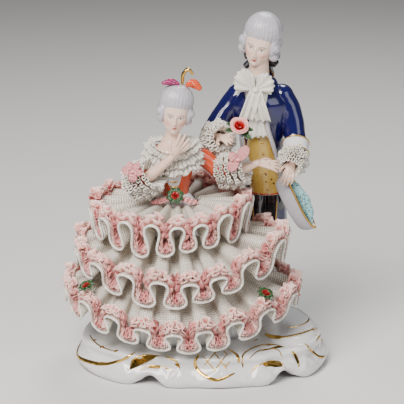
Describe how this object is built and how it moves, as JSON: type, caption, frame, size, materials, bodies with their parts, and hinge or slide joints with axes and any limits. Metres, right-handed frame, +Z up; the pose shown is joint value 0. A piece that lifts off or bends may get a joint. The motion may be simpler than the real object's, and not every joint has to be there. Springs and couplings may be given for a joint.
{
  "type": "courting couple figurine",
  "caption": "Porcelain group of a gentleman in a dress coat offering a rose to a lady in a tiered lace crinoline, on a scrolled rococo plinth.",
  "frame": {"origin": "middle of the box of the whole group, at the level that its plinth stands on", "axes": "+Z up, +X to the right of a viewer who faces the couple, +Y away from that viewer"},
  "size_m": [0.1484, 0.1008, 0.1922],
  "materials": {
    "glazed_white": "clear gloss glaze over white porcelain, gilt lines",
    "lace_white": "unglazed lace porcelain, matt",
    "flesh": "gloss glaze, painted",
    "cobalt": "gloss cobalt glaze, painted",
    "frill_pink": "tinted lace porcelain, matt",
    "rose_red": "gloss enamel",
    "plume_magenta": "gloss enamel",
    "plume_orange": "gloss enamel",
    "gilding": "burnished gilding on porcelain"
  },
  "bodies": {
    "root": {"plinth": "glazed_white", "lady": "flesh", "gentleman": "cobalt", "flounce_upper": "lace_white", "flounce_middle": "lace_white", "flounce_lower": "lace_white", "frill_upper": "frill_pink", "frill_middle": "frill_pink", "frill_lower": "frill_pink", "bertha_lace": "lace_white", "jabot": "lace_white", "cuff_lace_left": "lace_white", "cuff_lace_right": "lace_white", "sleeve_lace_left": "lace_white", "sleeve_lace_right": "lace_white", "sleeve_bow_left": "frill_pink", "sleeve_bow_right": "frill_pink", "tricorn_hat": "glazed_white", "hand_rose": "rose_red", "waist_rose": "rose_red", "skirt_rose_left": "rose_red", "skirt_rose_right": "rose_red", "plume_magenta": "plume_magenta", "plume_orange": "plume_orange", "plume_gold": "gilding"}
  },
  "joints": []
}
